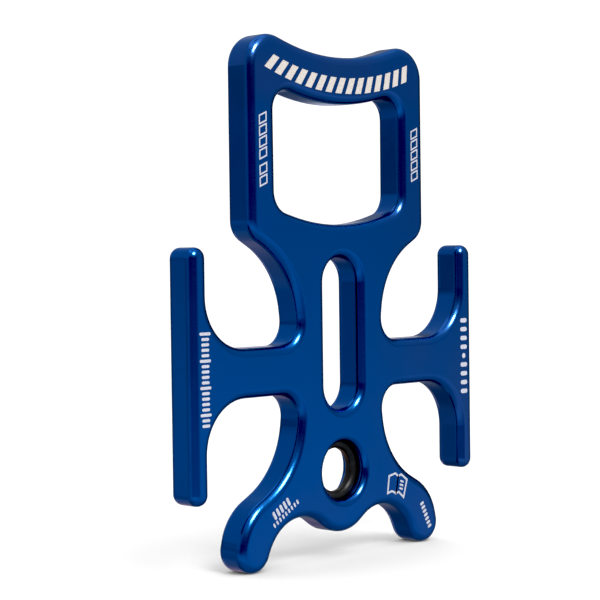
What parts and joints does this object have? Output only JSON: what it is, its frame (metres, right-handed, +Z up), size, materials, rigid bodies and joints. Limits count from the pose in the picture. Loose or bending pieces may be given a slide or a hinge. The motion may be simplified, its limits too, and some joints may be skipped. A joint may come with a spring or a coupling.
{
  "type": "canyoneering descender",
  "caption": "Flat rappel device milled from plate: windowed head with a saddle top, rope slot, upright side wings, curved feet and a carabiner eye with a rubber ring.",
  "frame": {"origin": "centre of the carabiner eye, in the middle of the plate's thickness", "axes": "+X across the plate to the right wing, +Y through the thickness from the marked front face to the back face, +Z up the length from the feet to the saddle"},
  "size_m": [0.1094, 0.0096, 0.1395],
  "materials": {
    "anodised_plate": "satin blue anodised, tumbled before anodising",
    "ring_rubber": "smooth black rubber",
    "laser_marking": "matt off-white laser marking"
  },
  "bodies": {
    "plate": {"descender_plate": "anodised_plate"},
    "ring": {"eye_retainer_ring": "ring_rubber"}
  },
  "joints": [
    {"name": "eye_ring_turn", "type": "hinge", "parent": "plate", "child": "ring", "pos_m": [0, 0, 0], "axis": [0, 1, 0], "continuous": true}
  ]
}
